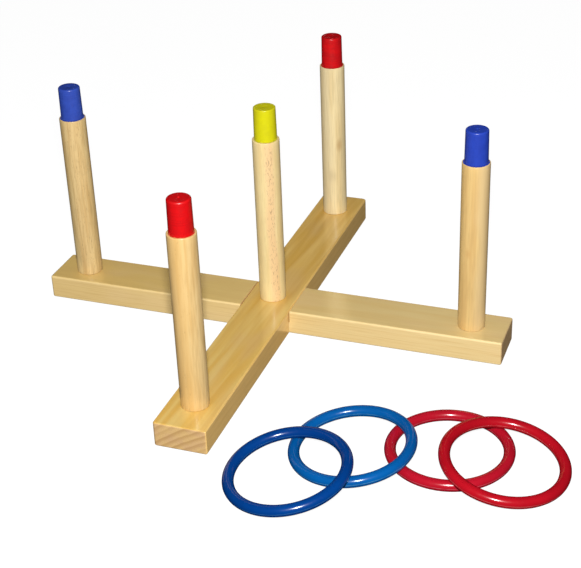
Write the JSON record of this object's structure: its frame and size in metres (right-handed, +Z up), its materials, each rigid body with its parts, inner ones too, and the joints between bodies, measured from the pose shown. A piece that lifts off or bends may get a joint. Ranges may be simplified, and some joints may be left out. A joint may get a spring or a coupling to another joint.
{
  "type": "ring toss set",
  "caption": "Ring toss set: a flat wooden cross with upright turned pegs that have coloured tips, and loose round plastic rings that lie in front of it.",
  "frame": {"origin": "the middle of the cross, on the surface that it stands on", "axes": "+Z up; X along the lower beam; Y along the upper beam, with its front end and the rings towards -Y"},
  "size_m": [0.7181, 0.6913, 0.2875],
  "materials": {
    "pine_lower": "satin clear lacquer",
    "pine_upper": "satin clear lacquer",
    "beech": "satin clear lacquer",
    "blue_paint": "gloss paint on turned wood",
    "red_paint": "gloss paint on turned wood",
    "yellow_paint": "gloss paint on turned wood",
    "dark_blue_plastic": "gloss",
    "blue_plastic": "gloss",
    "crimson_plastic": "gloss",
    "red_plastic": "gloss"
  },
  "bodies": {
    "base": {"lower_beam": "pine_lower"},
    "upper_beam": {"upper_beam": "pine_upper"},
    "peg_left": {"peg_left": "beech", "tip_left": "blue_paint"},
    "peg_right": {"peg_right": "beech", "tip_right": "blue_paint"},
    "peg_front": {"peg_front": "beech", "tip_front": "red_paint"},
    "peg_back": {"peg_back": "beech", "tip_back": "red_paint"},
    "peg_centre": {"peg_centre": "beech", "tip_centre": "yellow_paint"},
    "ring_crimson": {"ring_crimson": "crimson_plastic"},
    "ring_blue": {"ring_blue": "blue_plastic"},
    "ring_red": {"ring_red": "red_plastic"},
    "ring_dark_blue": {"ring_dark_blue": "dark_blue_plastic"}
  },
  "joints": [
    {"name": "upper_beam_lift", "type": "slide", "parent": "base", "child": "upper_beam", "axis": [0, 0, 1], "range_m": [0, 0.1]},
    {"name": "peg_left_lift", "type": "slide", "parent": "base", "child": "peg_left", "axis": [0, 0, 1], "range_m": [0, 0.05]},
    {"name": "peg_right_lift", "type": "slide", "parent": "base", "child": "peg_right", "axis": [0, 0, 1], "range_m": [0, 0.05]},
    {"name": "peg_front_lift", "type": "slide", "parent": "upper_beam", "child": "peg_front", "axis": [0, 0, 1], "range_m": [0, 0.05]},
    {"name": "peg_back_lift", "type": "slide", "parent": "upper_beam", "child": "peg_back", "axis": [0, 0, 1], "range_m": [0, 0.05]},
    {"name": "peg_centre_lift", "type": "slide", "parent": "upper_beam", "child": "peg_centre", "axis": [0, 0, 1], "range_m": [0, 0.05]},
    {"name": "ring_crimson_lift", "type": "slide", "parent": "base", "child": "ring_crimson", "axis": [0, 0, 1], "range_m": [0, 0.3]},
    {"name": "ring_blue_lift", "type": "slide", "parent": "ring_crimson", "child": "ring_blue", "axis": [0, 0, 1], "range_m": [0, 0.3]},
    {"name": "ring_red_lift", "type": "slide", "parent": "ring_crimson", "child": "ring_red", "axis": [0, 0, 1], "range_m": [0, 0.3]},
    {"name": "ring_dark_blue_lift", "type": "slide", "parent": "ring_blue", "child": "ring_dark_blue", "axis": [0, 0, 1], "range_m": [0, 0.3]}
  ]
}
